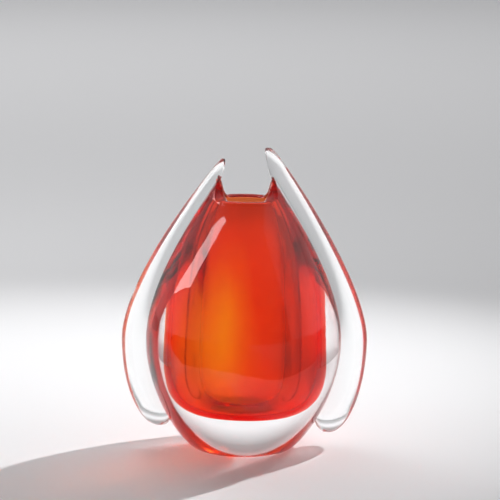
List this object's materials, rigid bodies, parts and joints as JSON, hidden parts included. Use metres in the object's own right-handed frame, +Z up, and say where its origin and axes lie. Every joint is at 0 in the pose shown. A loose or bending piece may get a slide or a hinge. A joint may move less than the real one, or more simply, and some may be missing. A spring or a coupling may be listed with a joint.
{
  "type": "art glass vase",
  "caption": "Oval teardrop vase of thick clear glass round a red and amber vessel, with a solid clear wing down each side that rises into a horn above the mouth.",
  "frame": {"origin": "middle of the flat foot, on the surface that the vase stands on", "axes": "+Z up the vase, +X to the taller horn, which is on the right seen from the front, -Y to the front"},
  "size_m": [0.243, 0.1784, 0.2996],
  "materials": {
    "amber_glass": "fire-polished transparent amber",
    "red_glass": "fire-polished transparent red",
    "clear_glass": "fire-polished clear, ground flat under the foot",
    "wing_glass": "fire-polished clear, tooled where each wing ends"
  },
  "bodies": {
    "root": {"inner_lining": "amber_glass", "colour_overlay": "red_glass", "clear_casing": "clear_glass", "left_wing": "wing_glass", "right_wing": "wing_glass"}
  },
  "joints": []
}
